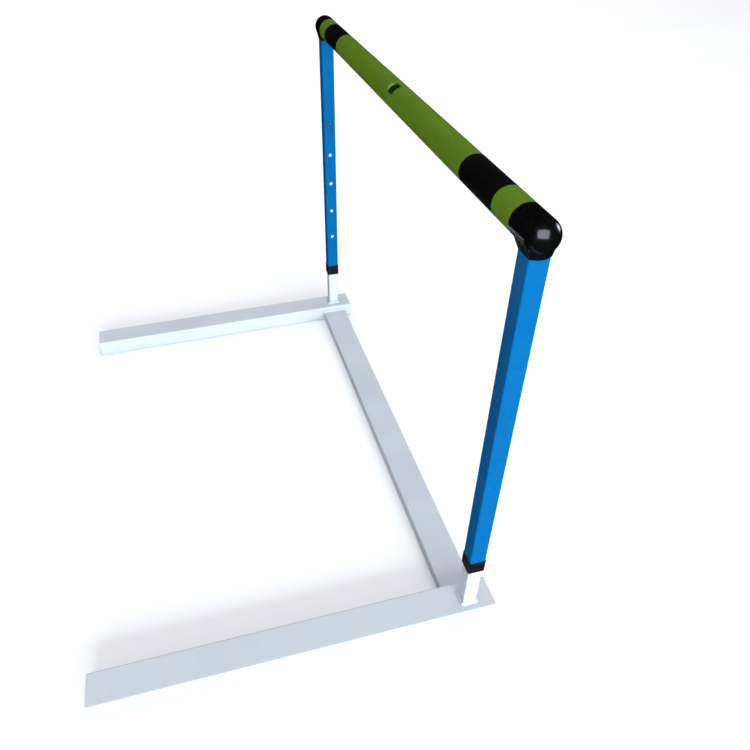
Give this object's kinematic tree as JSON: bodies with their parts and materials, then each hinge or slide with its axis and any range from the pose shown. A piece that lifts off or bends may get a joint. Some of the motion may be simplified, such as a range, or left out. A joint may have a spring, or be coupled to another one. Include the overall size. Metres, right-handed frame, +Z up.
{
  "type": "agility hurdle",
  "caption": "Height-adjustable training hurdle: U-shaped tube base, square posts with sliding sleeves and snap-button locks, and a padded round crossbar with elbow ends",
  "frame": {"origin": "on the floor, under the centre of the object's bounding box", "axes": "+X along the crossbar, +Z up, and the feet reach forward along -Y from the uprights, which stand near +Y"},
  "size_m": [1.05, 0.708, 0.788],
  "materials": {
    "white_powder_coat": "smooth powder coat",
    "blue_powder_coat": "glossy powder coat",
    "white_plastic": "moulded, satin",
    "black_gloss_plastic": "polished moulding",
    "black_matte_plastic": "moulded, satin",
    "green_foam": "closed-cell foam with a smooth satin skin",
    "black_foam": "closed-cell foam with a smooth satin skin",
    "core_plastic": "extruded, satin",
    "plated_steel": "zinc plated",
    "spring_steel": "blued strip"
  },
  "bodies": {
    "base": {"left_foot": "white_powder_coat", "left_post": "white_powder_coat", "left_post_weld": "white_powder_coat", "left_cross_weld": "white_powder_coat", "left_front_cap": "white_plastic", "left_rear_cap": "white_plastic", "left_post_plug": "black_matte_plastic", "left_lock_spring": "spring_steel", "right_foot": "white_powder_coat", "right_post": "white_powder_coat", "right_post_weld": "white_powder_coat", "right_cross_weld": "white_powder_coat", "right_front_cap": "white_plastic", "right_rear_cap": "white_plastic", "right_post_plug": "black_matte_plastic", "right_lock_spring": "spring_steel", "cross_member": "white_powder_coat"},
    "crossbar_frame": {"left_collar": "black_matte_plastic", "left_outer_tube": "blue_powder_coat", "left_head": "black_gloss_plastic", "left_ring_sleeve": "green_foam", "left_long_sleeve": "green_foam", "left_band_sleeve": "black_foam", "right_collar": "black_matte_plastic", "right_outer_tube": "blue_powder_coat", "right_head": "black_gloss_plastic", "right_ring_sleeve": "green_foam", "right_long_sleeve": "green_foam", "right_band_sleeve": "black_foam", "core_tube": "core_plastic"},
    "left_button": {"left_lock_button": "plated_steel"},
    "right_button": {"right_lock_button": "plated_steel"}
  },
  "joints": [
    {"name": "height_adjust", "type": "slide", "parent": "base", "child": "crossbar_frame", "axis": [0, 0, 1], "range_m": [0, 0.3], "deforming": ["left_lock_button", "right_lock_button"]},
    {"name": "left_button_press", "type": "slide", "parent": "base", "child": "left_button", "axis": [-1, 0, 0], "range_m": [0, 0.005], "stiffness_N_per_m": 1500, "deforming": ["left_lock_spring"]},
    {"name": "right_button_press", "type": "slide", "parent": "base", "child": "right_button", "axis": [1, 0, 0], "range_m": [0, 0.005], "stiffness_N_per_m": 1500, "deforming": ["right_lock_spring"]}
  ]
}
